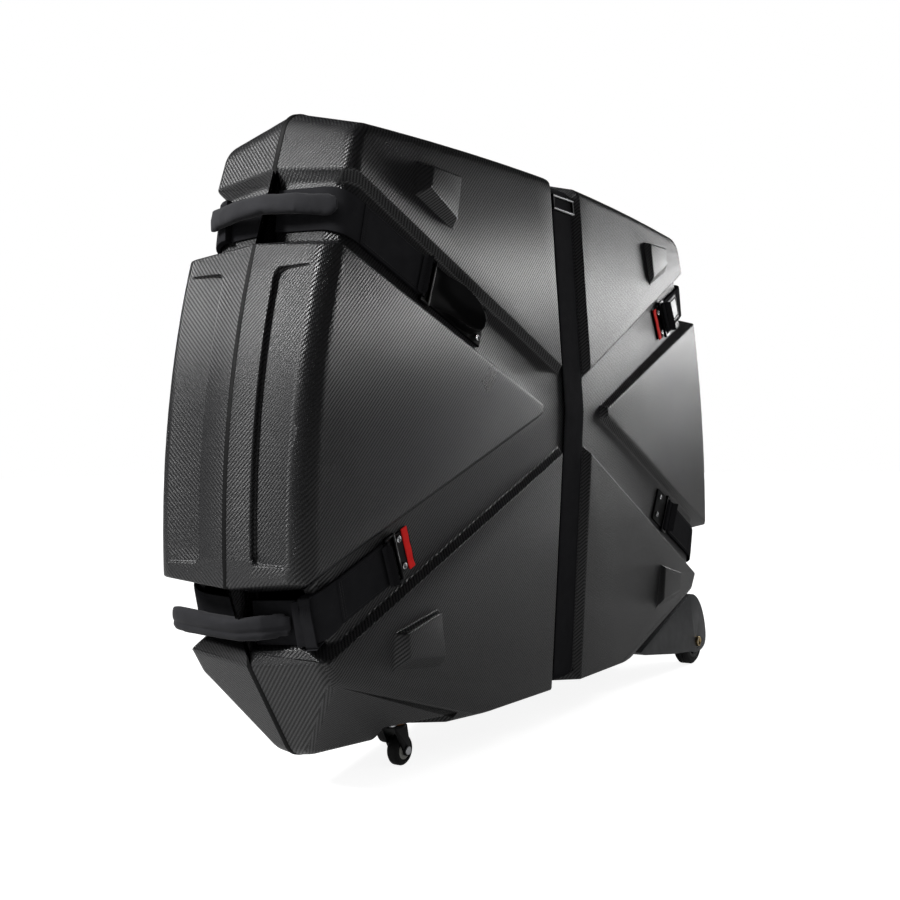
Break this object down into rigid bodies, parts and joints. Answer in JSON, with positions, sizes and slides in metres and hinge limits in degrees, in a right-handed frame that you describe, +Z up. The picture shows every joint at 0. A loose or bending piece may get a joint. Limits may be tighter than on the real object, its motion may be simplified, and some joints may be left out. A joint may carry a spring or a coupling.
{
  "type": "hard bicycle travel case",
  "caption": "Hard-shell bicycle travel case in halves, held shut by webbing straps with hooks, with carry handles, rear wheels and swivel casters.",
  "frame": {"origin": "floor level under the middle of the case", "axes": "+X along the length towards the rear wheels, +Y across the case away from the near half, +Z up"},
  "size_m": [1.1998, 0.277, 0.8302],
  "materials": {
    "shell": "semi-gloss woven laminate",
    "seal": "matt",
    "foam": "soft padding",
    "post": "matt",
    "webbing": "woven webbing",
    "handle": "padded cloth",
    "pull_tab": "woven tape",
    "fitting": "satin moulded",
    "hook": "black coated",
    "steel": "bright plated",
    "housing": "satin moulded",
    "hub": "matt",
    "tread": "matt",
    "bolt": "bright",
    "zinc": "zinc plated",
    "bearing": "greased",
    "fork": "black coated",
    "roller": "matt"
  },
  "bodies": {
    "near_half": {"near_shell": "shell", "rim_seal": "seal", "near_foam": "foam", "crush_post": "post", "near_centre_strap": "webbing", "near_strap_clips": "steel", "near_slider": "steel", "upper_left_strap": "webbing", "upper_left_handle": "handle", "upper_left_cup": "fitting", "lower_right_strap": "webbing", "lower_right_handle": "handle", "lower_right_plate": "fitting", "lower_left_hook": "hook", "upper_right_hook": "hook", "near_anchor_rings": "steel", "near_pull_tabs": "pull_tab", "near_screws": "steel", "near_rear_housing": "housing", "near_axle_bolt": "bolt", "near_caster_plate": "zinc", "near_caster_bearing": "bearing"},
    "far_half": {"far_shell": "shell", "far_foam": "foam", "far_centre_strap": "webbing", "far_strap_clips": "steel", "lower_left_strap": "webbing", "lower_left_handle": "handle", "lower_left_plate": "fitting", "upper_right_strap": "webbing", "upper_right_handle": "handle", "upper_right_cup": "fitting", "upper_left_hook": "hook", "lower_right_hook": "hook", "far_anchor_rings": "steel", "far_pull_tabs": "pull_tab", "far_screws": "steel", "far_rear_housing": "housing", "far_axle_bolt": "bolt", "far_caster_plate": "zinc", "far_caster_bearing": "bearing"},
    "upper_left_catch": {"upper_left_leg": "webbing", "upper_left_release_ring": "steel"},
    "lower_left_catch": {"lower_left_leg": "webbing", "lower_left_release_ring": "steel"},
    "upper_right_catch": {"upper_right_leg": "webbing", "upper_right_release_ring": "steel"},
    "lower_right_catch": {"lower_right_leg": "webbing", "lower_right_release_ring": "steel"},
    "near_rear_wheel": {"near_rear_hub": "hub", "near_rear_tyre": "tread"},
    "near_caster": {"near_caster_fork": "fork", "near_caster_axle": "steel"},
    "near_caster_roller": {"near_caster_wheel": "roller"},
    "far_rear_wheel": {"far_rear_hub": "hub", "far_rear_tyre": "tread"},
    "far_caster": {"far_caster_fork": "fork", "far_caster_axle": "steel"},
    "far_caster_roller": {"far_caster_wheel": "roller"}
  },
  "joints": [
    {"name": "case_opening", "type": "slide", "parent": "near_half", "child": "far_half", "axis": [0, 1, 0], "range_m": [0, 0.036]},
    {"name": "upper_left_swing", "type": "hinge", "parent": "near_half", "child": "upper_left_catch", "pos_m": [-0.51638, 0.07065, 0.68653], "axis": [0.1493, 0.0614, 0.9869], "range_deg": [0, 124]},
    {"name": "lower_right_swing", "type": "hinge", "parent": "near_half", "child": "lower_right_catch", "pos_m": [0.5635, 0.0692, 0.21145], "axis": [-0.1492, 0.0623, -0.9868], "range_deg": [0, 124]},
    {"name": "lower_left_swing", "type": "hinge", "parent": "far_half", "child": "lower_left_catch", "pos_m": [-0.5635, -0.0692, 0.21145], "axis": [0.1492, -0.0623, -0.9868], "range_deg": [0, 124]},
    {"name": "upper_right_swing", "type": "hinge", "parent": "far_half", "child": "upper_right_catch", "pos_m": [0.51638, -0.07065, 0.68653], "axis": [-0.1493, -0.0614, 0.9869], "range_deg": [0, 124]},
    {"name": "near_rear_roll", "type": "hinge", "parent": "near_half", "child": "near_rear_wheel", "pos_m": [0.554, -0.084, 0.043], "axis": [0, 1, 0], "continuous": true},
    {"name": "near_caster_swivel", "type": "hinge", "parent": "near_half", "child": "near_caster", "pos_m": [-0.34, -0.042, 0.055], "axis": [0, 0, 1], "continuous": true},
    {"name": "near_caster_roll", "type": "hinge", "parent": "near_caster", "child": "near_caster_roller", "pos_m": [-0.326, -0.042, 0.02], "axis": [0, 1, 0], "continuous": true},
    {"name": "far_rear_roll", "type": "hinge", "parent": "far_half", "child": "far_rear_wheel", "pos_m": [0.554, 0.084, 0.043], "axis": [0, 1, 0], "continuous": true},
    {"name": "far_caster_swivel", "type": "hinge", "parent": "far_half", "child": "far_caster", "pos_m": [-0.25, 0.042, 0.055], "axis": [0, 0, 1], "continuous": true},
    {"name": "far_caster_roll", "type": "hinge", "parent": "far_caster", "child": "far_caster_roller", "pos_m": [-0.236, 0.042, 0.02], "axis": [0, 1, 0], "continuous": true}
  ],
  "couplings": [
    {"joint": "upper_left_swing", "follows": "case_opening", "rad_per_m": 60},
    {"joint": "lower_right_swing", "follows": "case_opening", "rad_per_m": 60},
    {"joint": "lower_left_swing", "follows": "case_opening", "rad_per_m": 60},
    {"joint": "upper_right_swing", "follows": "case_opening", "rad_per_m": 60}
  ]
}
